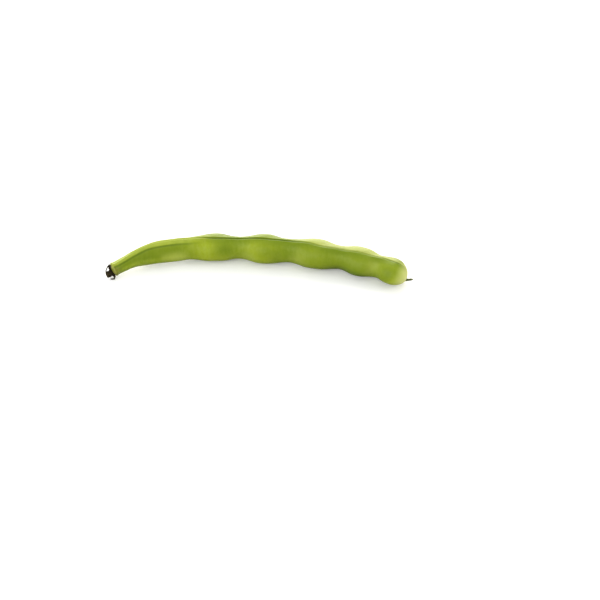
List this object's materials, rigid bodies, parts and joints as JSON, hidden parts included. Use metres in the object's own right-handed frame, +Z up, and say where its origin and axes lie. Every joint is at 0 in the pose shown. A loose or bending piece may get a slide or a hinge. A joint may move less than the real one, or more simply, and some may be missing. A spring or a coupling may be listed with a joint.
{
  "type": "broad bean pod",
  "caption": "Whole green broad bean pod, curved and swollen over its beans, with ridged seams, a short dry style and a dried calyx at the stalk end, lying on its lower edge.",
  "frame": {"origin": "middle of the bounding box's underside, on the surface that the pod lies on", "axes": "+X from the stalk end to the blunt end with the style, +Z up from the surface, +Y towards the outside of the sideways bend"},
  "size_m": [0.1826, 0.041, 0.0181],
  "materials": {
    "pod_skin": "satin green pod skin, slightly waxy",
    "dried_calyx": "dull, dry and nearly black"
  },
  "bodies": {
    "root": {"pod": "pod_skin", "dried_calyx": "dried_calyx"}
  },
  "joints": []
}
